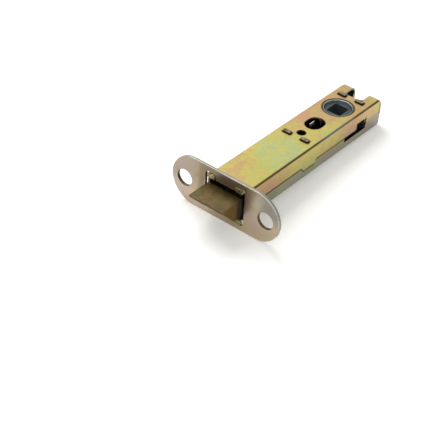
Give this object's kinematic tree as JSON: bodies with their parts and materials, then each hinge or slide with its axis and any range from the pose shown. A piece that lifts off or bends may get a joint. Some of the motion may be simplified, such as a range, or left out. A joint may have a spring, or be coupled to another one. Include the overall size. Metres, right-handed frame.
{
  "type": "tubular door latch",
  "caption": "Tubular mortice door latch with a rounded forend, a long pressed case, a sprung bevelled bolt and a square follower.",
  "frame": {"origin": "centre of the forend's front face, on the case's axis", "axes": "+X runs from the forend into the case, +Y across the case along the forend, +Z through the case's thickness"},
  "size_m": [0.1176, 0.06, 0.025],
  "materials": {
    "case_zinc": "yellow zinc passivate",
    "forend_zinc": "pale zinc passivate",
    "bridge_zinc": "yellow zinc passivate",
    "bolt_bronze": "bronze-brown passivated casting",
    "tail_steel": "bright zinc",
    "follower_steel": "dull grey casting",
    "yoke_steel": "plain steel strip",
    "spring_steel": "oiled spring wire"
  },
  "bodies": {
    "case": {"forend": "forend_zinc", "case_cover": "case_zinc", "case_body": "case_zinc", "front_bridge": "bridge_zinc", "rear_bridge": "bridge_zinc", "return_spring": "spring_steel"},
    "follower": {"follower": "follower_steel"},
    "yoke": {"draw_yoke": "yoke_steel", "bolt_spring": "spring_steel"},
    "bolt": {"latch_bolt": "bolt_bronze", "bolt_tail": "tail_steel", "tail_pin": "tail_steel", "tail_washer": "tail_steel", "tail_clip": "spring_steel"}
  },
  "joints": [
    {"name": "follower_turn", "type": "hinge", "parent": "case", "child": "follower", "pos_m": [0.083, 0, 0], "axis": [0, 0, 1], "range_deg": [0, 72]},
    {"name": "yoke_slide", "type": "slide", "parent": "case", "child": "yoke", "axis": [1, 0, 0], "range_m": [0, 0.0114], "stiffness_N_per_m": 500, "springref_m": -0.012, "deforming": ["return_spring"]},
    {"name": "bolt_slide", "type": "slide", "parent": "yoke", "child": "bolt", "axis": [1, 0, 0], "range_m": [0, 0.0114], "stiffness_N_per_m": 300, "springref_m": -0.012, "deforming": ["bolt_spring"]}
  ],
  "couplings": [
    {"joint": "follower_turn", "follows": "yoke_slide", "rad_per_m": 110.2}
  ]
}
